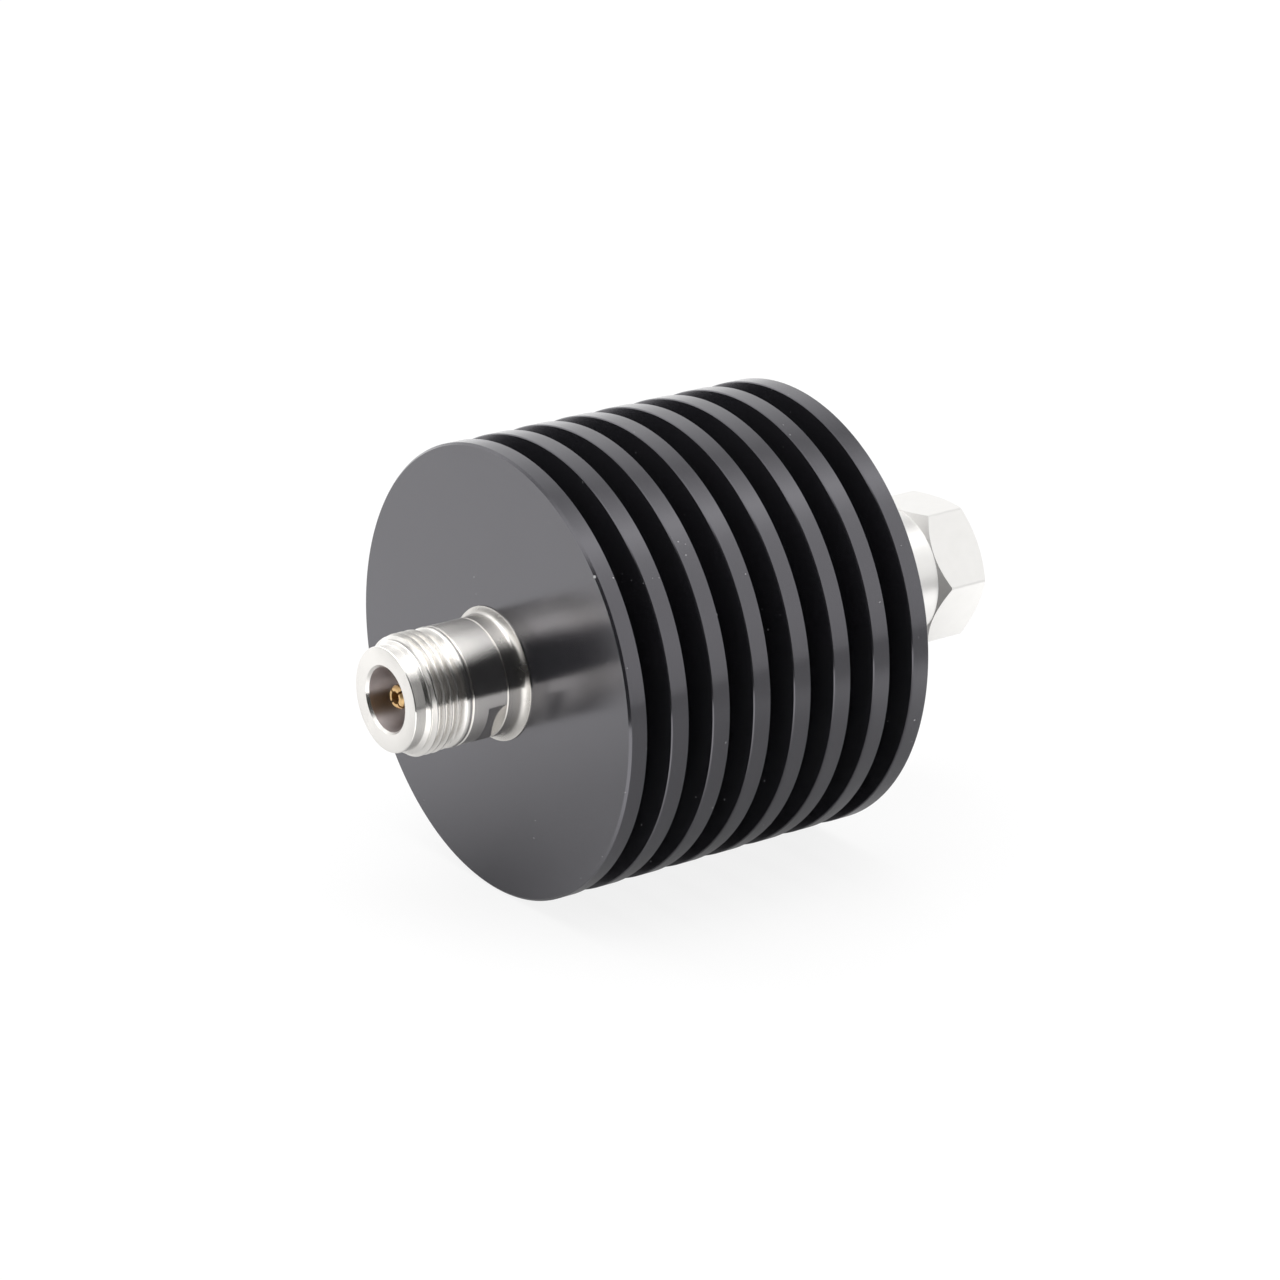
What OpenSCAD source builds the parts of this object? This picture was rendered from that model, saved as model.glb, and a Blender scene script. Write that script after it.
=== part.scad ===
// Fixed coaxial attenuator with a finned heat sink.
// The axis is +X, from the jack to the plug. The origin is on the axis at the
// free end of the plug's outer conductor, the plane where two connectors meet.

/* [Heat sink] */
// Outside diameter of the fins
sink_d = 60; // [50:1:80]
// Number of fins
fin_count = 8; // [6:1:10]
// Thickness of one fin
fin_t = 2.7; // [2:0.1:3]
// Distance from one fin to the next
fin_pitch = 6.4; // [6:0.1:8]
// Diameter of the hub between the fins
hub_d = 28; // [22:1:34]
// Bevel on the fin edges
fin_edge = 0.3; // [0.1:0.05:0.6]
// Bore that holds the carrier
core_d = 14; // [13.95:0.05:15]

/* [Jack] */
// How far the jack's nose stands out of the heat sink
jack_reach = 16.4; // [16:0.1:18]
// Major diameter of the connector thread
thread_d = 15.88; // [15.6:0.01:15.88]
// Diameter of the nose in front of the thread
nose_d = 13.8; // [13:0.1:14]
// Bore that takes the mating plug's outer conductor
mouth_d = 8.5; // [8.3:0.1:8.8]
// Depth of that bore
mouth_depth = 9.3; // [9:0.1:9.6]
// Depth of the socket contact's tip behind the nose
socket_recess = 4.1; // [3.8:0.1:4.6]
// Width across the wrench flats
flats_af = 14; // [13.5:0.1:15]

/* [Plug] */
// Distance from the heat sink to the end of the plug's outer conductor
plug_reach = 24.9; // [24.5:0.1:27]
// Width across the flats of the coupling nut
nut_af = 18; // [17.9:0.1:19]
// Diameter that the nut's corners are turned to
nut_corner_d = 19.8; // [19:0.1:20.4]
// Length of the hexagon
hex_len = 7.8; // [6:0.1:10]
// How far the nut stands past the outer conductor
nut_overhang = 1.8; // [1.2:0.1:2.4]
// Minor diameter of the nut's thread
nut_bore_d = 14.8; // [14.7:0.05:14.9]
// Turn of the nut about the axis, in degrees
nut_turn = 28.5; // [0:0.5:60]

/* [Line] */
// Inside diameter of the outer conductor
line_d = 7.0; // [6.9:0.05:7.1]
// Outside diameter of the centre contacts
contact_d = 3.04; // [3:0.01:3.1]
// Diameter of the plug's pin
pin_d = 1.64; // [1.6:0.01:1.68]
// Outside diameter of the insulating beads
bead_d = 9.2; // [9:0.1:9.6]

/* [Carrier and chip] */
// Width of the ceramic chip
chip_w = 7; // [6:0.5:7]
// Length of the ceramic chip
chip_len = 20; // [16:1:20]
// Thickness of the ceramic chip
chip_t = 1; // [0.6:0.1:1.2]
// Width of the air channel over the chip
channel_w = 6.4; // [6:0.1:6.6]

/* [Hidden] */
$fn = 96;

anodised = "#2c2c2f";
nickel = "#d9d7d2";
gold = "#c8a255";
ptfe = "#f4f3ee";
bright_aluminium = "#c9ccd0";
slack = 0.01;

// places along the axis
sink_len = (fin_count - 1)*fin_pitch + fin_t;
x_rear = -plug_reach;
x_front = x_rear - sink_len;
x_nose = x_front - jack_reach;
x_nut_end = nut_overhang;

// collars, one in each face of the heat sink
collar_len = 3;
collar_d = 15.7;
collar_foot_d = 17.7;
collar_spigot_d = 16.6;
collar_spigot_len = 6;
counterbore_depth = 6.3;
joint_bevel = 0.12;

// connector bodies
spigot_d = 12.4;
spigot_depth = 8;
bead_len = 4;
shoulder_len = 3;
flat_len = 2.9;
tail_d = 1.2;
neck_contact_d = 2.74;

// inside of the jack, as places along the axis
x_jack_seat = x_front - collar_len;
x_jack_bead = x_jack_seat;
x_jack_end = x_front + spigot_depth;
x_socket_tip = x_nose + socket_recess;

// plug, as places along the axis
x_plug_seat = x_rear + collar_len;
x_plug_end = x_rear - spigot_depth;
x_neck = x_plug_seat + shoulder_len;
neck_d = 14.1;
x_flange = -10.1;
x_plug_bead = x_flange - 8.3;
sleeve_d = 8.1;
sleeve_root_d = 9.4;
ring_groove_d = 12.9;
ring_groove_w = 1.1;
x_ring = -15.4;
ring_d = 15.2;
ring_t = 1;
gasket_t = 0.8;
gasket_d = 13.8;
pin_recess = 5.28;
pin_overhang = 0.9;

// coupling nut
nut_gap = 0.3;
neck_clearance = 0.05;
x_nut = x_neck + nut_gap;
nut_skirt_d = 17.8;
nut_thread_start = x_flange - 1.8;
hex_point_d = nut_af/cos(30);
hex_bevel = (nut_corner_d - nut_skirt_d)/2*tan(30);

// carrier and what it holds
carrier_d = 13.94;
carrier_len = x_plug_end - x_jack_end;
split_z = -0.35;
channel_top = 3.2;
end_room = (carrier_len - chip_len)/2 - 0.75;
screw_y = 5.1;
screw_x = 8;
screw_seat = 1.2;
screw_head_d = 2.6;
screw_head_h = 1.4;
screw_d = 1.6;
screw_tip = -3.4;
tab_t = 0.15;
tab_w = 1.6;
tab_len = 4.75;
tab_on_chip = 2;

// a solid of revolution about the X axis; points are [radius, x]
module turned(points) rotate([0, 90, 0]) rotate_extrude() polygon(points);

// a round bar along X, from x0 to x1
module bar(d, x0, x1) translate([x0, 0, 0]) rotate([0, 90, 0]) cylinder(d = d, h = x1 - x0);

// a tube along X, from x0 to x1
module tube(d, bore, x0, x1) difference() {
    bar(d, x0, x1);
    bar(bore, x0 - 1, x1 + 1);
}

// what two opposite wrench flats take off a round body
module flats_cut(x0, x1, turn) rotate([turn, 0, 0]) for (side = [0, 180])
    rotate([side, 0, 0]) translate([x0, flats_af/2, -8]) cube([x1 - x0, 8, 16]);

// outline of one fin, with bevelled edges, starting at x0
function fin_outline(x0) = [
    [hub_d/2, x0], [sink_d/2 - fin_edge, x0], [sink_d/2, x0 + fin_edge],
    [sink_d/2, x0 + fin_t - fin_edge], [sink_d/2 - fin_edge, x0 + fin_t],
    [hub_d/2, x0 + fin_t]
];

module heat_sink() color(anodised) turned(concat(
    [[collar_spigot_d/2, x_front]],
    [for (i = [0 : fin_count - 1]) each fin_outline(x_front + i*fin_pitch)],
    [[collar_spigot_d/2, x_rear],
     [collar_spigot_d/2, x_rear - counterbore_depth],
     [core_d/2, x_rear - counterbore_depth],
     [core_d/2, x_front + counterbore_depth],
     [collar_spigot_d/2, x_front + counterbore_depth]]));

// shell of the jack: nose, cone, thread, relief, lip, body with flats, spigot
module jack_body() color(nickel) difference() {
    thread_r = thread_d/2;
    body_r = collar_d/2;
    x_cone = x_nose + 1.6;
    x_thread = x_cone + thread_r - nose_d/2;
    x_relief = x_nose + 5.9;
    x_lip = x_nose + 6.9;
    x_body = x_nose + 8.2;
    turned([
        [mouth_d/2 + 0.25, x_nose], [nose_d/2 - 0.15, x_nose], [nose_d/2, x_nose + 0.15],
        [nose_d/2, x_cone], [thread_r, x_thread], [thread_r, x_relief],
        [7, x_relief + 0.5], [7, x_lip - 0.2],
        [7.6, x_lip + 0.15], [7.88, x_lip + 0.5], [7.88, x_body - 0.3], [7.7, x_body - 0.05],
        [body_r, x_body + 0.1], [body_r, x_jack_seat - joint_bevel],
        [body_r - joint_bevel, x_jack_seat], [spigot_d/2, x_jack_seat],
        [spigot_d/2, x_jack_end], [bead_d/2, x_jack_end], [bead_d/2, x_jack_bead],
        [line_d/2, x_jack_bead], [line_d/2, x_nose + mouth_depth],
        [mouth_d/2, x_nose + mouth_depth], [mouth_d/2, x_nose + 0.25]]);
    flats_cut(x_jack_seat - flat_len, x_jack_seat + slack, 34.8);
}

// collar with a flared foot on the face; x0 is the face and dir points outwards
module collar(x0, dir) turned([
    [spigot_d/2, x0 + dir*collar_len],
    [collar_d/2 - joint_bevel, x0 + dir*collar_len],
    [collar_d/2, x0 + dir*(collar_len - joint_bevel)],
    [collar_d/2, x0 + dir*1.1], [collar_d/2 + 0.12, x0 + dir*0.75],
    [collar_d/2 + 0.4, x0 + dir*0.4], [collar_foot_d/2 - 0.15, x0 + dir*0.22],
    [collar_foot_d/2, x0 + dir*0.12], [collar_foot_d/2, x0],
    [collar_spigot_d/2, x0], [collar_spigot_d/2, x0 - dir*collar_spigot_len],
    [spigot_d/2, x0 - dir*collar_spigot_len]]);

module jack_collar() color(nickel) collar(x_front, -1);

module plug_collar() color(nickel) collar(x_rear, 1);

module jack_insulator() color(ptfe)
    tube(bead_d, neck_contact_d, x_jack_bead, x_jack_bead + bead_len);

// slotted socket, neck in the bead, and a tail that reaches the chip
module jack_contact() color(gold) {
    x_neck_end = x_jack_bead + bead_len;
    x_tail_end = x_jack_end + end_room - 0.05;
    difference() {
        union() {
            turned([
                [0, x_socket_tip], [contact_d/2 - 0.3, x_socket_tip],
                [contact_d/2, x_socket_tip + 0.35], [contact_d/2, x_jack_bead],
                [neck_contact_d/2, x_jack_bead], [neck_contact_d/2, x_neck_end],
                [contact_d/2, x_neck_end], [contact_d/2, x_jack_end - 0.5],
                [tail_d/2, x_jack_end - 0.5], [tail_d/2, x_tail_end], [0, x_tail_end]]);
        }
        bar(pin_d + 0.06, x_socket_tip - 1, x_socket_tip + 6);
        for (turn = [45, 135]) rotate([turn, 0, 0])
            translate([x_socket_tip - 1, -2, -0.15]) cube([6, 4, 0.3]);
        translate([x_jack_end + end_room - tab_len + tab_on_chip - 0.05, -1, -1])
            cube([tab_len, 2, 1 + split_z + tab_t]);
    }
}

module jack_retainer() color(nickel)
    tube(bead_d, line_d, x_jack_bead + bead_len, x_jack_end);

// shell of the plug: spigot, shoulder with flats, neck, flange and sleeve
module plug_body() color(nickel) difference() {
    turned([
        [bead_d/2, x_plug_end], [spigot_d/2, x_plug_end], [spigot_d/2, x_plug_seat],
        [collar_d/2 - joint_bevel, x_plug_seat], [collar_d/2, x_plug_seat + joint_bevel],
        [collar_d/2, x_neck - 0.2], [collar_d/2 - 0.2, x_neck], [neck_d/2, x_neck],
        [neck_d/2, x_ring], [ring_groove_d/2, x_ring],
        [ring_groove_d/2, x_ring + ring_groove_w], [neck_d/2, x_ring + ring_groove_w],
        [neck_d/2, x_flange], [sleeve_root_d/2, x_flange],
        [sleeve_root_d/2, x_flange + gasket_t], [sleeve_d/2, x_flange + gasket_t],
        [sleeve_d/2, 0],
        [line_d/2 + 0.15, 0], [line_d/2, -0.15], [line_d/2, x_plug_bead + bead_len],
        [bead_d/2, x_plug_bead + bead_len]]);
    flats_cut(x_plug_seat - slack, x_neck - 0.1, 34.8);
}

module plug_insulator() color(ptfe)
    tube(bead_d, neck_contact_d, x_plug_bead, x_plug_bead + bead_len);

// tail that reaches the chip, neck in the bead, contact and pin
module plug_pin() color(gold) {
    x_tail = x_plug_end - end_room + 0.05;
    x_tip = pin_overhang;
    difference() {
        turned([
            [0, x_tail], [tail_d/2, x_tail], [tail_d/2, x_plug_end + 0.4],
            [contact_d/2, x_plug_end + 0.4], [contact_d/2, x_plug_bead],
            [neck_contact_d/2, x_plug_bead], [neck_contact_d/2, x_plug_bead + bead_len],
            [contact_d/2, x_plug_bead + bead_len], [contact_d/2, -pin_recess],
            [pin_d/2, -pin_recess], [pin_d/2, x_tip - 0.9], [0.35, x_tip - 0.1],
            [0.2, x_tip], [0, x_tip]]);
        translate([x_plug_end - end_room - tab_on_chip + 0.05, -1, -1])
            cube([tab_len, 2, 1 + split_z + tab_t]);
    }
}

module plug_retainer() color(nickel)
    tube(bead_d, line_d, x_plug_end, x_plug_bead);

// round skirt, hexagon with turned ends, threaded bore and groove for the ring
module coupling_nut() color(nickel) {
    corner_r = nut_corner_d/2;
    skirt_r = nut_skirt_d/2;
    thread_r = nut_bore_d/2;
    x_hex = x_nut_end - hex_len;
    groove_r = ring_d/2 + 0.1;
    difference() {
        intersection() {
            union() {
                bar(nut_skirt_d, x_nut, x_nut_end);
                rotate([nut_turn, 0, 0]) translate([x_hex, 0, 0]) rotate([0, 90, 0])
                    cylinder(d = hex_point_d, h = hex_len, $fn = 6);
            }
            turned([
                [0, x_nut], [skirt_r - 0.3, x_nut], [skirt_r, x_nut + 0.3],
                [skirt_r, x_hex], [corner_r, x_hex + hex_bevel],
                [corner_r, x_nut_end - hex_bevel], [skirt_r, x_nut_end], [0, x_nut_end]]);
        }
        turned([
            [0, x_nut - 1], [neck_d/2 + neck_clearance, x_nut - 1],
            [neck_d/2 + neck_clearance, x_ring - 0.1], [groove_r, x_ring - 0.1],
            [groove_r, x_ring + ring_t + 0.1], [neck_d/2 + neck_clearance, x_ring + ring_t + 0.1],
            [neck_d/2 + neck_clearance, nut_thread_start], [thread_r, nut_thread_start],
            [thread_r, x_nut_end - 0.6], [thread_r + 0.6, x_nut_end],
            [thread_r + 0.6, x_nut_end + 1], [0, x_nut_end + 1]]);
    }
}

module snap_ring() color("#8d8f92") difference() {
    tube(ring_d, ring_groove_d, x_ring, x_ring + ring_t);
    translate([x_ring - 1, -1.25, 0]) cube([ring_t + 2, 2.5, ring_d]);
}

module plug_gasket() color("#b5482f")
    tube(gasket_d, sleeve_root_d, x_flange, x_flange + gasket_t);

// room for the conductors' ends and for the chip, shared by both halves
module carrier_rooms() {
    bar(2*channel_top, x_jack_end - 1, x_jack_end + end_room);
    bar(2*channel_top, x_plug_end - end_room, x_plug_end + 1);
}

x_mid = (x_jack_end + x_plug_end)/2;

// places of the four carrier screws
module at_screws() for (dx = [-screw_x, screw_x], y = [-screw_y, screw_y])
    translate([x_mid + dx, y, 0]) children();

module carrier_lower() color(bright_aluminium) difference() {
    bar(carrier_d, x_jack_end, x_plug_end);
    translate([x_jack_end - 1, -8, split_z]) cube([carrier_len + 2, 16, 16]);
    translate([x_mid - chip_len/2 - 0.05, -chip_w/2 - 0.05, split_z - chip_t])
        cube([chip_len + 0.1, chip_w + 0.1, 2]);
    carrier_rooms();
    at_screws() translate([0, 0, screw_tip - 0.1]) cylinder(d = screw_d, h = 8);
}

module carrier_upper() color(bright_aluminium) difference() {
    bar(carrier_d, x_jack_end, x_plug_end);
    translate([x_jack_end - 1, -8, split_z - 16]) cube([carrier_len + 2, 16, 16]);
    translate([x_jack_end + 1, -channel_w/2, split_z - 1])
        cube([carrier_len - 2, channel_w, channel_top - split_z + 1]);
    carrier_rooms();
    at_screws() {
        translate([0, 0, split_z - 1]) cylinder(d = screw_d + 0.1, h = 8);
        translate([0, 0, screw_seat]) cylinder(d = screw_head_d + 0.2, h = 8);
    }
}

module carrier_screws() color("#77797c") at_screws() difference() {
    union() {
        translate([0, 0, screw_tip]) cylinder(d = screw_d, h = screw_seat - screw_tip);
        translate([0, 0, screw_seat]) cylinder(d = screw_head_d, h = screw_head_h);
    }
    translate([0, 0, screw_seat + screw_head_h - 0.7]) cylinder(d = 1.5, h = 1, $fn = 6);
}

module attenuator_chip() color("#efece2")
    translate([x_mid - chip_len/2, -chip_w/2, split_z - chip_t]) cube([chip_len, chip_w, chip_t]);

// thin strip on the chip's pad and under the flat of the conductor's tail
module tab(x0) translate([x0, -tab_w/2, split_z]) cube([tab_len, tab_w, tab_t]);

module input_tab() color("#c99f6a") tab(x_mid - chip_len/2 + tab_on_chip - tab_len);

module output_tab() color("#c99f6a") tab(x_mid + chip_len/2 - tab_on_chip);

heat_sink();
jack_body();
jack_collar();
jack_insulator();
jack_contact();
jack_retainer();
plug_collar();
plug_body();
plug_insulator();
plug_pin();
plug_retainer();
coupling_nut();
snap_ring();
plug_gasket();
carrier_lower();
carrier_upper();
carrier_screws();
attenuator_chip();
input_tab();
output_tab();
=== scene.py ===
import bmesh
import bpy
import numpy as np
from mathutils import Matrix


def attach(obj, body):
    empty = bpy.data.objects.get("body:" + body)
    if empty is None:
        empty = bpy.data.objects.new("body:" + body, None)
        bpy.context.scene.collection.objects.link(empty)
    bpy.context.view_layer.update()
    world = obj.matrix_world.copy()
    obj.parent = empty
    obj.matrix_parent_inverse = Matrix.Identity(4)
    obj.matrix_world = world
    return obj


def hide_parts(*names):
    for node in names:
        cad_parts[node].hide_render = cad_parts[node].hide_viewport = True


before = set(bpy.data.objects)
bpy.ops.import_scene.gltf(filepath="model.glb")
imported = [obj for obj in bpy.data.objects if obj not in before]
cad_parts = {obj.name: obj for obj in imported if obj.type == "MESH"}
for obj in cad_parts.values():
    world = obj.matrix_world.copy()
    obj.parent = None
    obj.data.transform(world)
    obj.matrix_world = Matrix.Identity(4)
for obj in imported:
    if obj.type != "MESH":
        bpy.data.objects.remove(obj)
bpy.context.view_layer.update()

MM = 0.001


# Camera and studio
# The attenuator is seen from its front left with a long lens, on a white table that ends a
# little in front of it. Only the room lights it: a soft box over its left, a white wall behind
# it and at its right, and a dark side at the camera, so the plated parts show a dark band.

def add(tree, kind, inputs=None, **settings):
    """Adds one shader node. inputs gives a socket a value, or links another node's output to it."""
    made = tree.nodes.new(kind)
    for name, value in settings.items():
        setattr(made, name, value)
    for socket, value in (inputs or {}).items():
        if isinstance(value, bpy.types.NodeSocket):
            tree.links.new(value, made.inputs[socket])
        else:
            made.inputs[socket].default_value = value
    return made


def maths(tree, operation, a, b=0.0, c=0.0):
    """One Math node's output."""
    return add(tree, "ShaderNodeMath", {0: a, 1: b, 2: c}, operation=operation).outputs[0]


def product(tree, first, *others):
    """All the values multiplied together."""
    for other in others:
        first = maths(tree, "MULTIPLY", first, other)
    return first


def step(tree, value, low, high):
    """0 where the value is at low, 1 where it is at high, with an S-shaped step between."""
    return add(tree, "ShaderNodeMapRange", {0: value, 1: low, 2: high},
               interpolation_type="SMOOTHSTEP").outputs[0]


def between(tree, share, low, high):
    """Goes straight from low to high as the share goes from 0 to 1."""
    return add(tree, "ShaderNodeMapRange", {0: share, 3: low, 4: high}).outputs[0]


sensor_width, focal_px, photo_px = 36.0, 4806.3, 1280
lens = bpy.data.cameras.new("photo_camera")
lens.sensor_width, lens.lens = sensor_width, focal_px / photo_px * sensor_width
lens.clip_start, lens.clip_end = 0.01, 20.0
camera = bpy.data.objects.new("photo_camera", lens)
sight = np.array([0.5526, 0.7588, -0.3447])
right = np.array([0.8084, -0.5887, 0.0])
stand = np.eye(4)
stand[:3, 0], stand[:3, 1], stand[:3, 2] = right, np.cross(right, sight), -sight
stand[:3, 3] = np.array([-396.212, -476.702, 216.045]) * MM
camera.matrix_world = Matrix(stand.tolist())
bpy.context.scene.collection.objects.link(camera)
bpy.context.scene.camera = camera
bpy.context.scene.view_settings.view_transform = "Standard"

# The table's edges are stated in metres from the part's origin, along the view and across it.
table_top, near_edge, far_edge, half_width = -30 * MM, -0.175, 1.6, 1.2
ahead, aside = np.array([0.5887, 0.8084]), np.array([0.8084, -0.5887])
corners = [ahead * near_edge - aside * half_width, ahead * near_edge + aside * half_width,
           ahead * far_edge + aside * half_width, ahead * far_edge - aside * half_width]
table_mesh = bpy.data.meshes.new("table")
table_mesh.from_pydata([(x, y, table_top) for x, y in corners], [], [(0, 1, 2, 3)])
table = bpy.data.objects.new("table", table_mesh)
bpy.context.scene.collection.objects.link(table)

# The table is matt white and keeps its shadow, but most of what the camera and the plating see of it is a
# glow that it gives off.
# The camera sees that glow plain white. The plating sees painted light there: brightest in front of the
# jack's face, behind the part and at its right, and dim next to the part as painted shade. From below the
# table isn't there, so a view from below shows the part.
paint = bpy.data.materials.new("table_white")
paint.use_nodes = True
t = paint.node_tree
t.nodes.clear()
ray = add(t, "ShaderNodeLightPath")
matt = add(t, "ShaderNodeBsdfDiffuse", {"Color": (0.90, 0.90, 0.90, 1)})
spot = add(t, "ShaderNodeSeparateXYZ", {0: add(t, "ShaderNodeNewGeometry").outputs["Position"]})
along_x, along_y = spot.outputs[0], spot.outputs[1]
# Painted light and shade on the table: the glow is strongest in these places and falls to 0.3 next to the
# part.
in_front = product(t, step(t, along_x, -0.060, -0.100),
                   between(t, step(t, along_y, 0.005, -0.035), 0.3, 1.7))
behind = product(t, step(t, along_y, -0.01, 0.065), 0.9)
at_right = product(t, step(t, along_x, -0.02, 0.03), step(t, along_y, -0.12, -0.06))
glow = maths(t, "ADD", maths(t, "MAXIMUM", in_front, maths(t, "MAXIMUM", behind, at_right)), 0.3)
glow = between(t, ray.outputs["Is Camera Ray"], glow, 1.0)
painted_glow = add(t, "ShaderNodeEmission", {"Color": (1, 1, 1, 1), "Strength": glow})
mirrored = maths(t, "MAXIMUM", ray.outputs["Is Glossy Ray"], ray.outputs["Is Transmission Ray"])
painted_glow_share = maths(t, "MAXIMUM", product(t, ray.outputs["Is Camera Ray"], 0.86),
                    product(t, mirrored, 0.75))
top = add(t, "ShaderNodeMixShader", {0: painted_glow_share, 1: matt.outputs[0], 2: painted_glow.outputs[0]})
clear = add(t, "ShaderNodeBsdfTransparent")
under = add(t, "ShaderNodeNewGeometry").outputs["Backfacing"]
both = add(t, "ShaderNodeMixShader", {0: under, 1: top.outputs[0], 2: clear.outputs[0]})
add(t, "ShaderNodeOutputMaterial", {0: both.outputs[0]})
table_mesh.materials.append(paint)

# Round the object the light depends on two things: how far to the right a ray points (across), and
# how far it is turned up and over, from the back wall (0 degrees) through overhead (90) to the
# front (180). The right side's light is a list of such angles with the light there.
world = bpy.data.worlds.new("studio")
bpy.context.scene.world = world
world.use_nodes = True
t = world.node_tree
t.nodes.clear()
way = add(t, "ShaderNodeSeparateXYZ", {0: add(t, "ShaderNodeTexCoord").outputs["Generated"]})
across = way.outputs[0]
over = maths(t, "DEGREES", maths(t, "ARCTAN2", way.outputs[2], way.outputs[1]))
over = maths(t, "SUBTRACT", maths(t, "FLOORED_MODULO", maths(t, "ADD", over, 90.0), 360.0), 90.0)
right_lights = ((-30, 1.2), (0, 1.3), (12, 1.05), (24, 0.97), (36, 1.0), (60, 0.7), (74, 0.45),
                (84, 0.7), (94, 1.1), (104, 1.6), (112, 1.35), (120, 1.1), (132, 1.1), (164, 1.1),
                (188, 0.95), (197, 0.5), (210, 0.45))
lowest, highest = right_lights[0][0], right_lights[-1][0]
turned = maths(t, "DIVIDE", maths(t, "SUBTRACT", over, lowest), highest - lowest)
right_side = add(t, "ShaderNodeValToRGB", {0: turned})
stops = right_side.color_ramp.elements
for angle, light in right_lights:
    if angle in (lowest, highest):
        stop = stops[0 if angle == lowest else -1]
    else:
        stop = stops.new((angle - lowest) / (highest - lowest))
    stop.color = (light, light, light, 1)

# The left side has a back wall that is dimmer at its far end, a soft box overhead whose front
# edge slants, a small light at the far left, and almost nothing in front.
back_wall = product(t, step(t, over, 60, 36), between(t, step(t, across, -0.6, 0.2), 0.3, 1.7))
slant = maths(t, "MULTIPLY_ADD", across, -36.0, over)
box_light = maths(t, "SUBTRACT", between(t, step(t, across, -0.7, -0.2), 0.0, 4.1),
                  product(t, step(t, across, 0.0, 0.34), 1.5))
soft_box = product(t, step(t, over, 14, 92), step(t, slant, 128, 104), box_light)
far_left = product(t, step(t, across, -0.6, -0.72), step(t, over, 40, 60), step(t, over, 114, 96))
left_side = maths(t, "ADD", maths(t, "ADD", back_wall, soft_box),
                  maths(t, "MULTIPLY_ADD", far_left, 1.8, 0.03))
room = between(t, step(t, across, 0.34, 0.44), left_side, right_side.outputs[0])
room = between(t, add(t, "ShaderNodeLightPath").outputs["Is Camera Ray"], room, 1.0)
sky = add(t, "ShaderNodeBackground", {"Color": (1, 1, 1, 1), "Strength": room})
add(t, "ShaderNodeOutputWorld", {0: sky.outputs[0]})


# Heat sink
# One piece turned from an aluminium bar: eight round fins on a hub, with a bore for the carrier
# and a threaded recess for the collar in each face. Black anodised after turning, so the faces
# and rims keep the tool's fine rings under a satin gloss. The front edge is broken the most and
# has a few bare chips, and a little dust lies on the fins.

def material(name):
    """An empty node material and its tree."""
    made = bpy.data.materials.new(name)
    made.use_nodes = True
    made.node_tree.nodes.clear()
    return made, made.node_tree


def finish_with(tree, shader):
    """Links a shader to the material's output."""
    add(tree, "ShaderNodeOutputMaterial", {0: shader.outputs[0]})


def lathe_axes(t):
    """Object position, place along the X axis, distance from it, and the direction that runs round it."""
    place = add(t, "ShaderNodeTexCoord").outputs["Object"]
    around = add(t, "ShaderNodeVectorMath", {0: (1, 0, 0), 1: place}, operation="CROSS_PRODUCT").outputs[0]
    around = add(t, "ShaderNodeVectorTransform", {0: around}, vector_type="VECTOR",
                 convert_from="OBJECT", convert_to="WORLD").outputs[0]
    apart = add(t, "ShaderNodeSeparateXYZ", {0: place})
    reach = maths(t, "SQRT", maths(t, "ADD", product(t, apart.outputs[1], apart.outputs[1]),
                                   product(t, apart.outputs[2], apart.outputs[2])))
    return place, apart.outputs[0], reach, around


def mottle(t, place, per_mm, detail=3.0, rough=0.5):
    """Noise with about that many waves a millimetre."""
    return add(t, "ShaderNodeTexNoise", {"Vector": place, "Scale": per_mm / MM, "Detail": detail,
                                         "Roughness": rough}).outputs[0]


def tool_rings(t, along, reach, per_mm, strength, height):
    """A bumped normal, with noise over place along the axis and distance from it only, so that it makes
    about that many rings a millimetre round the axis. The height is in metres."""
    both = add(t, "ShaderNodeCombineXYZ", {0: along, 1: reach})
    rings = mottle(t, both.outputs[0], per_mm, 3.0, 0.6)
    return add(t, "ShaderNodeBump", {"Height": rings, "Strength": strength, "Distance": height}).outputs[0]


def blend(t, share, low, high):
    """A colour that goes from low to high with the share."""
    return add(t, "ShaderNodeMix", {0: share, 6: low, 7: high}, data_type="RGBA").outputs[2]


def dress(names, made):
    """Gives CAD nodes one material."""
    for name in names:
        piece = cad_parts[name]
        piece.data.materials.clear()
        piece.data.materials.append(made)


def weld(mesh, sharp):
    """Merges a mesh's doubles, turns its faces outwards and shades it smooth, apart from edges that turn
    by more than sharp degrees."""
    work = bmesh.new()
    work.from_mesh(mesh)
    bmesh.ops.remove_doubles(work, verts=work.verts, dist=2e-6)
    bmesh.ops.dissolve_degenerate(work, edges=work.edges, dist=1e-7)
    bmesh.ops.recalc_face_normals(work, faces=work.faces)
    for f in work.faces:
        f.smooth = True
    for e in work.edges:
        e.smooth = len(e.link_faces) == 2 and bool(e.calc_face_angle(0) < np.radians(sharp))
    work.to_mesh(mesh)
    work.free()


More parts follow.
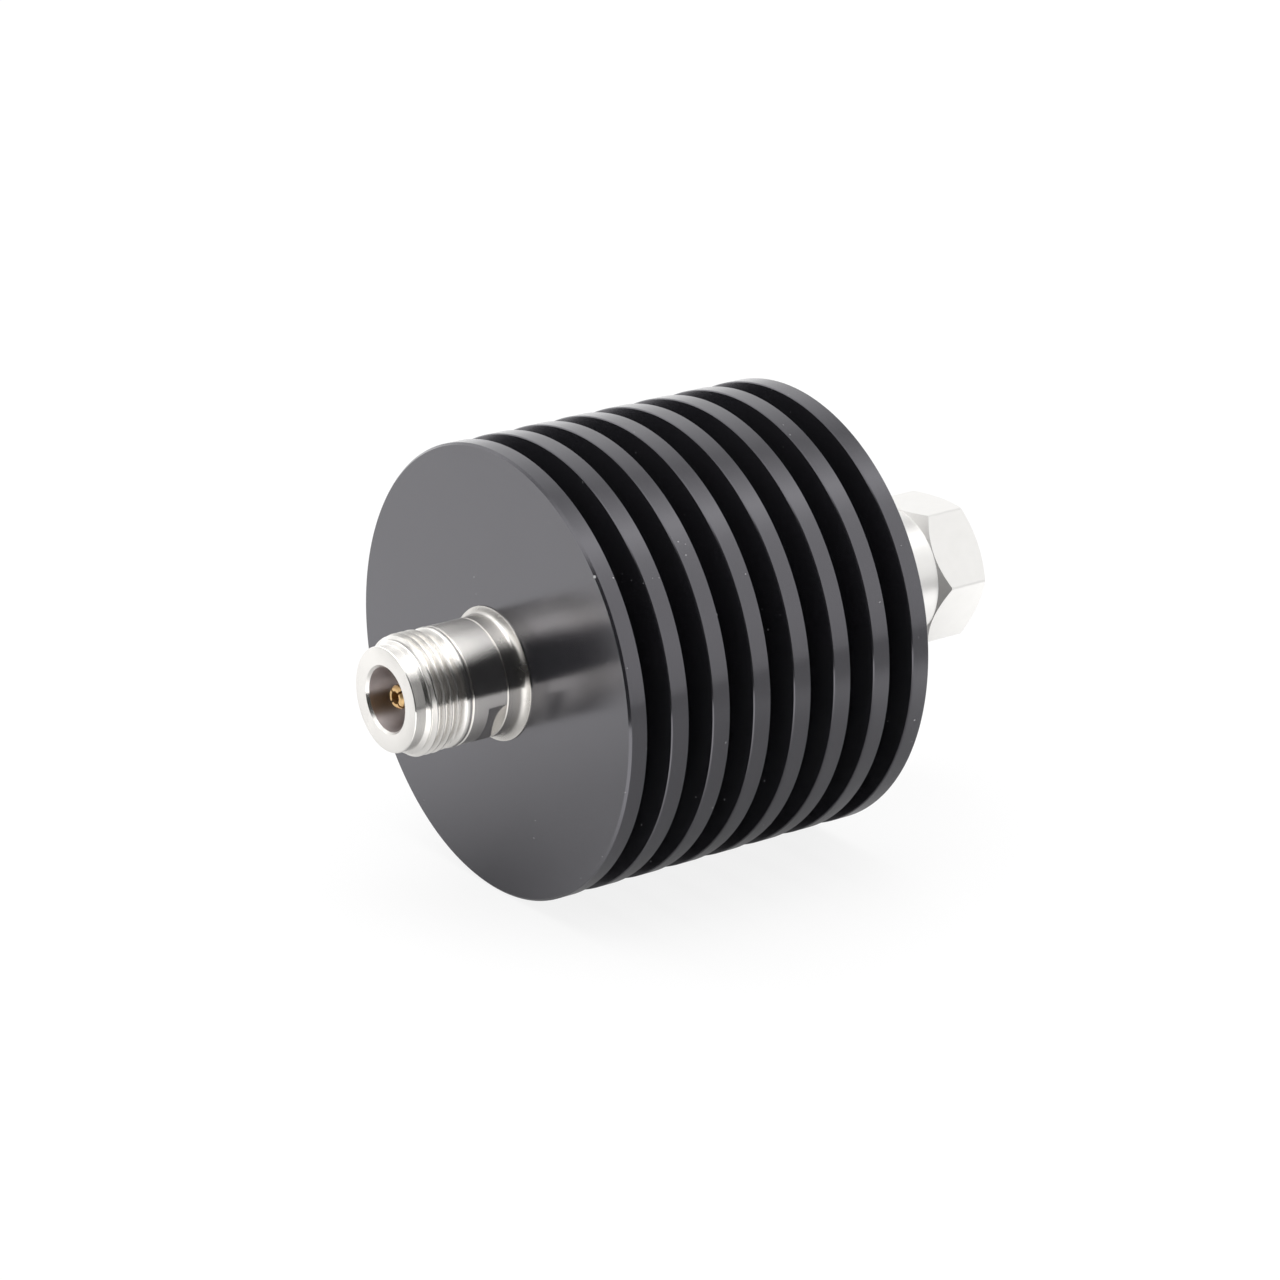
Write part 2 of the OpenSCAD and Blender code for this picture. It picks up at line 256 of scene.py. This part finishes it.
def lathe_skin(name, rows, angles, sharp=25.0):
    """A closed skin round the X axis, in millimetres. Each of rows is a pair of place x and radius r, as
    numbers or as arrays with one line of values for each line round the axis; point (i, j) is
    (x[i,j], r[i,j] cos angle[j], r[i,j] sin angle[j])."""
    lines = [np.broadcast_arrays(np.atleast_2d(x), np.atleast_2d(r), angles[None, :])[:2] for x, r in rows]
    x, r = (np.concatenate([line[k] for line in lines]) for k in (0, 1))
    points = np.stack([x, r * np.cos(angles), r * np.sin(angles)], -1).reshape(-1, 3) * MM
    k = np.arange(x.size).reshape(x.shape)
    quads = np.stack([k[:-1, :-1], k[:-1, 1:], k[1:, 1:], k[1:, :-1]], -1).reshape(-1, 4)
    mesh = bpy.data.meshes.new(name)
    mesh.from_pydata(points.tolist(), [], quads.tolist())
    weld(mesh, sharp)
    made = bpy.data.objects.new(name, mesh)
    bpy.context.scene.collection.objects.link(made)
    return made


angles = np.linspace(0, 2 * np.pi, 241)
front_face, rear_face = -72.4, -24.9
fin_count, fin_pitch, fin_thick, fin_radius, hub_radius = 8, 6.4, 2.7, 30.0, 14.0
bore_radius, recess_radius, recess_depth = 7.0, 8.3, 6.3
front_break, edge_break = 0.3, 0.13
fins = []
for k in range(fin_count):
    front, corner = front_face + fin_pitch * k, edge_break if k else front_break
    back = front + fin_thick
    fins += [(front, hub_radius), (front, fin_radius - corner), (front + corner, fin_radius),
             (back - edge_break, fin_radius), (back, fin_radius - edge_break), (back, hub_radius)]
sink = lathe_skin("finned_heat_sink", [
    (front_face + recess_depth, bore_radius), (front_face + recess_depth, recess_radius),
    (front_face, recess_radius)] + fins[1:-1] + [
    (rear_face, recess_radius), (rear_face - recess_depth, recess_radius),
    (rear_face - recess_depth, bore_radius), (front_face + recess_depth, bore_radius)], angles)
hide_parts("heat_sink")
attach(sink, "attenuator")

anodised, t = material("black_anodised")
place, along, reach, around = lathe_axes(t)
tone = blend(t, mottle(t, place, 0.11), (0.018, 0.018, 0.021, 1), (0.027, 0.027, 0.031, 1))
few = step(t, mottle(t, place, 0.15, 0.0), 0.62, 0.66)
dust = product(t, step(t, mottle(t, place, 2.4, 0.0), 0.83, 0.86), few, 0.5)
facing = add(t, "ShaderNodeSeparateXYZ", {0: add(t, "ShaderNodeTexCoord").outputs["Normal"]}).outputs[0]
facing = maths(t, "ABSOLUTE", facing)
is_edge = product(t, step(t, facing, 0.25, 0.45), step(t, facing, 0.92, 0.85))
chips = product(t, step(t, mottle(t, place, 1.2, 2.0, 0.6), 0.74, 0.77), is_edge)
for x, y, z, size in ((-72.4, -20.4, 22.0, 0.22), (-72.4, -22.5, 19.5, 0.25), (-72.4, -23.4, 18.6, 0.15),
                      (-70.0, -23.2, 19.1, 0.12), (-26.2, -28.95, -7.9, 0.14)):
    apart = add(t, "ShaderNodeVectorMath", {0: place, 1: (x * MM, y * MM, z * MM)}, operation="DISTANCE")
    chip = step(t, apart.outputs["Value"], size * MM, 0.6 * size * MM)
    chips = maths(t, "MAXIMUM", chips, chip)
tone = blend(t, maths(t, "MAXIMUM", dust, chips), tone, (0.62, 0.62, 0.63, 1))
gloss = maths(t, "MULTIPLY_ADD", mottle(t, place, 1.3, 3.0, 0.6), 0.04, 0.155)
skin = add(t, "ShaderNodeBsdfPrincipled", {
    "Base Color": tone, "Roughness": gloss, "IOR": 2.0, "Specular Tint": (0.95, 0.93, 1.0, 1),
    "Anisotropic": 0.75, "Anisotropic Rotation": 0.25, "Tangent": around,
    "Normal": tool_rings(t, along, reach, 6.0, 0.15, 1e-5)})
finish_with(t, skin)
sink.data.materials.append(anodised)


# Jack body
# The female connector's shell, turned from brass bar and bright nickel plated: nose, thread of
# 24 turns an inch, relief, lip, and a plain body with two wrench flats. Its spigot sits in the
# collar and holds the bead. The bore is duller than the outside, and the flats are milled.

pitch = 25.4 / 24


def thread_wave(turns):
    """A 60 degree thread's height, from root 0 to crest 1, after that many turns: a flat crest of an eighth
    of the pitch, straight flanks, and a flat root of a quarter."""
    return 1 - np.clip((np.abs(np.mod(turns, 1.0) - 0.5) - 0.0625) / 0.3125, 0, 1)


def helix_rows(x_low, x_high, angles, steps=20):
    """Places along the axis for rows that climb one pitch a turn, cut off at two planes: row i lies at
    x_low + pitch (i/steps - 1 + angle/turn)."""
    count = int(np.ceil((x_high - x_low) / pitch + 1)) * steps
    climb = np.arange(count + 1)[:, None] / steps - 1 + angles / (2 * np.pi)
    return np.clip(x_low + pitch * climb, x_low, x_high)


def faces_of(piece):
    """Centres in millimetres, distances from the X axis, and normals of a piece's faces."""
    polygons = piece.data.polygons
    centre, normal = np.empty(len(polygons) * 3), np.empty(len(polygons) * 3)
    polygons.foreach_get("center", centre)
    polygons.foreach_get("normal", normal)
    centre = centre.reshape(-1, 3) / MM
    return centre, np.hypot(centre[:, 1], centre[:, 2]), normal.reshape(-1, 3)


def turned_metal(name, light, dark, waves, gloss, drift, rings=None, brushed=0.0):
    """A metal whose colour goes from light to dark, and its roughness from gloss to gloss + drift, with
    noise of that many waves a millimetre. rings gives tool_rings its last three values. brushed
    stretches the highlights round the axis."""
    made, t = material(name)
    place, along, reach, around = lathe_axes(t)
    haze = mottle(t, place, waves)
    inputs = {"Base Color": blend(t, haze, light, dark), "Metallic": 1.0,
              "Roughness": maths(t, "MULTIPLY_ADD", haze, drift, gloss)}
    if rings:
        inputs["Normal"] = tool_rings(t, along, reach, *rings)
    if brushed:
        inputs.update({"Anisotropic": brushed, "Anisotropic Rotation": 0.25, "Tangent": around})
    finish_with(t, add(t, "ShaderNodeBsdfPrincipled", inputs))
    return made


nose_radius, relief_radius, crest_radius, thread_height = 6.9, 7.0, 7.94, 0.67
thread_start, fade_start, thread_end = -87.2, -82.9, -82.4
x = helix_rows(thread_start, thread_end, angles)
thread = thread_wave((x - fade_start) / pitch - angles / (2 * np.pi))
r = crest_radius - thread_height * (1 - thread)
lead_in = nose_radius + (x - thread_start)
fade = (x - fade_start) / (thread_end - fade_start) * (crest_radius - relief_radius)
r = np.minimum(np.minimum(r, lead_in), np.maximum(crest_radius - fade, relief_radius))

body_radius, half_across_flats, flat_turn = 7.85, 7.0, np.radians(34.8)
off = np.mod(angles - flat_turn + np.pi / 2, np.pi) - np.pi / 2
on_flat = np.minimum(body_radius, half_across_flats / np.cos(np.clip(off, -1.2, 1.2)))
mouth_radius, spigot_radius, flats_start, flats_end, spigot_end = 4.25, 6.2, -78.3, -75.4, -64.4
jack_shell = lathe_skin("jack_shell", [
    (-79.5, 3.5), (-79.5, mouth_radius), (-88.45, mouth_radius), (-88.8, 4.55), (-88.8, 6.72),
    (-88.76, 6.84), (-88.65, nose_radius), (thread_start, nose_radius), (x, r),
    (-82.25, relief_radius), (-82.1, relief_radius), (-81.95, 7.25), (-81.75, 7.6), (-81.55, 7.8),
    (-81.3, 7.88), (-80.95, 7.88), (-80.75, 7.8), (-80.62, 7.68), (-80.5, body_radius),
    (flats_start, body_radius), (flats_start, on_flat), (flats_end - 0.12, on_flat),
    (flats_end, np.minimum(on_flat, body_radius - 0.12)), (flats_end, spigot_radius),
    (spigot_end, spigot_radius), (spigot_end, 4.6), (flats_end, 4.6), (flats_end, 3.5), (-79.5, 3.5)],
    angles)
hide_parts("jack_body")
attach(jack_shell, "attenuator")

bright_tone, worn_tone = (0.86, 0.84, 0.81, 1), (0.81, 0.79, 0.76, 1)
nickel = turned_metal("bright_nickel", bright_tone, worn_tone, 0.5, 0.23, 0.04, (7.0, 0.12, 1e-5), 0.99)
milled = turned_metal("milled_nickel", bright_tone, worn_tone, 0.8, 0.10, 0.04)

dull, t = material("dull_nickel_bore")
place, along, reach, around = lathe_axes(t)
haze = mottle(t, place, 1.0)
rings = tool_rings(t, along, reach, 5.0, 0.2, 1e-5)
bright = add(t, "ShaderNodeBsdfPrincipled", {
    "Base Color": (0.93, 0.88, 0.85, 1), "Metallic": 1.0,
    "Roughness": maths(t, "MULTIPLY_ADD", haze, 0.08, 0.12), "Normal": rings})
cloudy = add(t, "ShaderNodeBsdfPrincipled", {
    "Base Color": blend(t, haze, (0.92, 0.84, 0.83, 1), (0.80, 0.73, 0.72, 1)), "Metallic": 1.0,
    "Roughness": 0.5, "Anisotropic": 0.93, "Anisotropic Rotation": 0.25, "Tangent": around,
    "Normal": rings})
cloudy_share = 0.55
finish_with(t, add(t, "ShaderNodeMixShader", {0: cloudy_share, 1: bright.outputs[0], 2: cloudy.outputs[0]}))

for made in (nickel, milled, dull):
    jack_shell.data.materials.append(made)
centre, radius, normal = faces_of(jack_shell)
at_flats = (centre[:, 0] > flats_start - 0.1) & (centre[:, 0] < flats_end + 0.1)
at_flats &= (radius > spigot_radius + 0.1) & (radius < body_radius - 0.02)
faces_flat = np.abs(normal @ [0, np.cos(flat_turn), np.sin(flat_turn)]) > 0.9999
on_flats = at_flats & (faces_flat | (np.abs(normal[:, 0]) > 0.9))
in_bore = (centre[:, 0] < -75.0) & (radius < mouth_radius + 0.05)
jack_shell.data.polygons.foreach_set("material_index", np.where(on_flats, 1, np.where(in_bore, 2, 0)))


# Collars
# A nickel plated ring is screwed into each face of the heat sink. Its foot flares out in a
# hollow curve to a thin rim on the face, and each connector's spigot is held in it.

# The collar's nickel is painted darker than the jack's: painted shade that dims the highlight in its hollow
# foot.
collar_nickel_painted_shade = turned_metal("collar_nickel_painted_shade", (0.68, 0.66, 0.63, 1), (0.60, 0.58, 0.55, 1), 0.5, 0.24, 0.05,
                             (5.0, 0.25, 2e-5), 0.97)
collar_height, rim_radius, hollow = 3.0, 8.85, 0.88
sweep = np.radians(np.linspace(0, 64, 10))[:, None]
for name, node, face, out in (("jack_collar_ring", "jack_collar", front_face, -1),
                              ("plug_collar_ring", "plug_collar", rear_face, 1)):
    collar = lathe_skin(name, [
        (face + out * collar_height, spigot_radius), (face + out * collar_height, body_radius - 0.12),
        (face + out * (collar_height - 0.12), body_radius),
        (face + out * (1.18 - hollow * np.sin(sweep)), body_radius + hollow * (1 - np.cos(sweep))),
        (face + out * 0.22, 8.68), (face + out * 0.2, 8.82), (face + out * 0.17, rim_radius),
        (face, rim_radius), (face, recess_radius), (face - out * 6.0, recess_radius),
        (face - out * 6.0, spigot_radius), (face + out * collar_height, spigot_radius)], angles)
    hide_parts(node)
    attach(collar, "attenuator")
    collar.data.materials.append(collar_nickel_painted_shade)


# Contacts
# The jack's slotted socket and the plug's pin are turned from brass or bronze and gold plated.
# The photo shows the socket's tip nearer to the mouth than the solid's, so it is longer here.

gilt = turned_metal("gold_plate", (0.86, 0.60, 0.30, 1), (0.78, 0.52, 0.25, 1), 1.0, 0.4, 0.1,
                    (9.0, 0.1, 1e-5))
dress(["plug_pin"], gilt)

socket_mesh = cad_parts["jack_contact"].data.copy()
socket_mesh.name = "jack_contact_socket"
weld(socket_mesh, 25)
points = np.empty(len(socket_mesh.vertices) * 3)
socket_mesh.vertices.foreach_get("co", points)
tip, longer = points[0::3] < -82 * MM, 2.6 * MM
points[0::3] -= np.where(tip, longer, 0)
socket_mesh.vertices.foreach_set("co", points)
socket_mesh.update()
socket_mesh.materials.clear()
socket_mesh.materials.append(gilt)
socket = bpy.data.objects.new("jack_contact_socket", socket_mesh)
bpy.context.scene.collection.objects.link(socket)
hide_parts("jack_contact")
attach(socket, "attenuator")


# Beads and retainers
# Each contact's neck sits in a white PTFE bead, which a plated bushing behind it keeps in place.

ptfe, t = material("white_ptfe")
place, along, reach, _ = lathe_axes(t)
haze = mottle(t, place, 0.7, 4.0)
skin = add(t, "ShaderNodeBsdfPrincipled", {
    "Base Color": blend(t, haze, (0.88, 0.87, 0.84, 1), (0.82, 0.81, 0.77, 1)), "IOR": 1.35,
    "Roughness": maths(t, "MULTIPLY_ADD", haze, 0.15, 0.38),
    "Normal": tool_rings(t, along, reach, 5.0, 0.25, 2e-5)})
finish_with(t, skin)
dress(["jack_insulator", "plug_insulator"], ptfe)
dress(["jack_retainer", "plug_retainer"], nickel)


# Plug body, ring and gasket
# The male connector's shell has a shoulder with wrench flats, a neck that the nut turns on, and
# a thin sleeve. A spring ring holds the nut, and a silicone ring seals against a mated jack.

dress(["plug_body"], nickel)
spring = turned_metal("spring_steel_wire", (0.36, 0.36, 0.37, 1), (0.50, 0.49, 0.48, 1), 2.0, 0.25, 0.2)
dress(["snap_ring"], spring)

silicone, t = material("red_silicone")
place = add(t, "ShaderNodeTexCoord").outputs["Object"]
haze = mottle(t, place, 1.5, 4.0)
grain = add(t, "ShaderNodeBump", {"Height": mottle(t, place, 9.0, 2.0), "Strength": 0.2, "Distance": 2e-5})
skin = add(t, "ShaderNodeBsdfPrincipled", {
    "Base Color": blend(t, haze, (0.42, 0.085, 0.045, 1), (0.33, 0.065, 0.035, 1)), "IOR": 1.42,
    "Roughness": maths(t, "MULTIPLY_ADD", haze, 0.15, 0.5), "Normal": grain.outputs[0]})
finish_with(t, skin)
dress(["plug_gasket"], silicone)


# Coupling nut
# Turned from hexagonal bar, threaded inside and nickel plated: a round skirt towards the heat
# sink, and a hexagon at the mouth whose corners are turned down. It spins on the plug's neck.

flats = np.radians(28.5 + 60 * np.arange(6))
spread = np.radians([-30, -29.1, -24, -16, -8, 0, 8, 16, 24, 29.1])
nut_angles = np.sort(np.mod(flats[:, None] + spread, 2 * np.pi).ravel())
evenly = np.linspace(0, 2 * np.pi, 145)[:-1]
nut_angles = nut_angles[0] + np.unique(np.round(np.mod(
    np.concatenate([nut_angles - nut_angles[0], evenly]), 2 * np.pi), 5))
nut_angles = np.append(nut_angles, nut_angles[0] + 2 * np.pi)

half_across_nut, corner_radius, skirt_radius = 9.0, 10.3, 8.9
nut_rear, hexagon_start, nut_mouth = -18.6, -6.0, 1.8
off = np.mod(nut_angles - flats[0] + np.pi / 6, np.pi / 3) - np.pi / 6
hexagon = np.minimum(half_across_nut / np.cos(off), corner_radius)
turned_off = (hexagon - skirt_radius) * np.tan(np.radians(30))

groove_root, groove_depth, groove_start, groove_end = 7.4, 0.6, -11.6, 1.2
x = helix_rows(groove_start, groove_end, nut_angles, 16)
groove = groove_root + groove_depth * (1 - thread_wave((x - groove_end) / pitch - nut_angles / (2 * np.pi)))
groove = np.minimum(groove, np.maximum(groove_root, groove_root + (x - groove_start) * 1.2))
nut = lathe_skin("coupling_nut_shell", [
    (nut_rear, 7.1), (nut_rear, 8.6), (nut_rear + 0.08, 8.8), (nut_rear + 0.3, skirt_radius),
    (hexagon_start, skirt_radius), (hexagon_start + 1.5 * turned_off, hexagon),
    (nut_mouth - turned_off, hexagon), (nut_mouth, skirt_radius), (nut_mouth, 8.06), (nut_mouth - 0.06, 8.0),
    (x[::-1], groove[::-1]), (-11.9, groove_root), (-11.9, 7.1), (-14.3, 7.1), (-14.3, 7.7), (-15.5, 7.7),
    (-15.5, 7.1), (nut_rear, 7.1)], nut_angles, sharp=22.0)
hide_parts("coupling_nut")
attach(nut, "coupling_nut")

nut.data.materials.append(turned_metal(
    "nut_nickel", (0.88, 0.87, 0.85, 1), (0.84, 0.83, 0.81, 1), 0.6, 0.30, 0.05, (5.0, 0.1, 1e-5)))
# The cone behind the hexagon gets a rough nickel painted lighter than the nut's: painted light that lifts it
# where it faces the fin's dark back.
nut.data.materials.append(turned_metal(
    "coarse_nickel_painted_light", (0.92, 0.91, 0.89, 1), (0.88, 0.87, 0.85, 1), 1.0, 0.75, 0.1))
centre, radius, normal = faces_of(nut)
behind_hexagon = (centre[:, 0] > hexagon_start - 0.1) & (centre[:, 0] < hexagon_start + 2)
behind_hexagon &= (radius > skirt_radius - 0.02) & (normal[:, 0] < -0.1)
nut.data.polygons.foreach_set("material_index", np.where(behind_hexagon, 1, 0))


# Carrier, screws, chip and tabs
# In the heat sink's bore a split aluminium carrier clamps a ceramic chip with four small screws.
# The chip has a resistor film between two silver pads, and a thin strip joins each pad to a contact.

bare = turned_metal("machined_aluminium", (0.70, 0.71, 0.73, 1), (0.78, 0.79, 0.80, 1), 0.6, 0.28, 0.15,
                    (4.0, 0.2, 2e-5))
dress(["carrier_lower", "carrier_upper"], bare)
steel = turned_metal("screw_steel", (0.30, 0.30, 0.32, 1), (0.44, 0.44, 0.45, 1), 2.5, 0.25, 0.2)
dress(["carrier_screws"], steel)
strip = turned_metal("rolled_copper_strip", (0.72, 0.47, 0.27, 1), (0.64, 0.40, 0.24, 1), 1.5, 0.28, 0.15)
dress(["input_tab", "output_tab"], strip)

ceramic, t = material("chip_ceramic")
place = add(t, "ShaderNodeTexCoord").outputs["Object"]
haze = mottle(t, place, 3.0)
white = blend(t, haze, (0.84, 0.83, 0.78, 1), (0.78, 0.77, 0.71, 1))
apart = add(t, "ShaderNodeSeparateXYZ", {0: place})
chip_middle, film_end, film_edge, pad_edge, chip_top = -48.65, 5.5, 2.55, 1.35, -0.36
far = maths(t, "ABSOLUTE", maths(t, "SUBTRACT", apart.outputs[0], chip_middle * MM))
wide = maths(t, "ABSOLUTE", apart.outputs[1])
upper = step(t, apart.outputs[2], (chip_top - 0.01) * MM, chip_top * MM)
film = product(t, step(t, far, (film_end + 0.1) * MM, film_end * MM),
               step(t, wide, (film_edge + 0.05) * MM, film_edge * MM), upper)
pad = product(t, step(t, far, film_end * MM, (film_end + 0.05) * MM),
              step(t, wide, (pad_edge + 0.05) * MM, pad_edge * MM), upper)
tone = blend(t, pad, blend(t, film, white, (0.10, 0.075, 0.06, 1)), (0.66, 0.65, 0.62, 1))
skin = add(t, "ShaderNodeBsdfPrincipled", {
    "Base Color": tone, "Metallic": product(t, pad, 0.8),
    "Roughness": maths(t, "MULTIPLY_ADD", haze, 0.2, 0.4)})
finish_with(t, skin)
dress(["attenuator_chip"], ceramic)
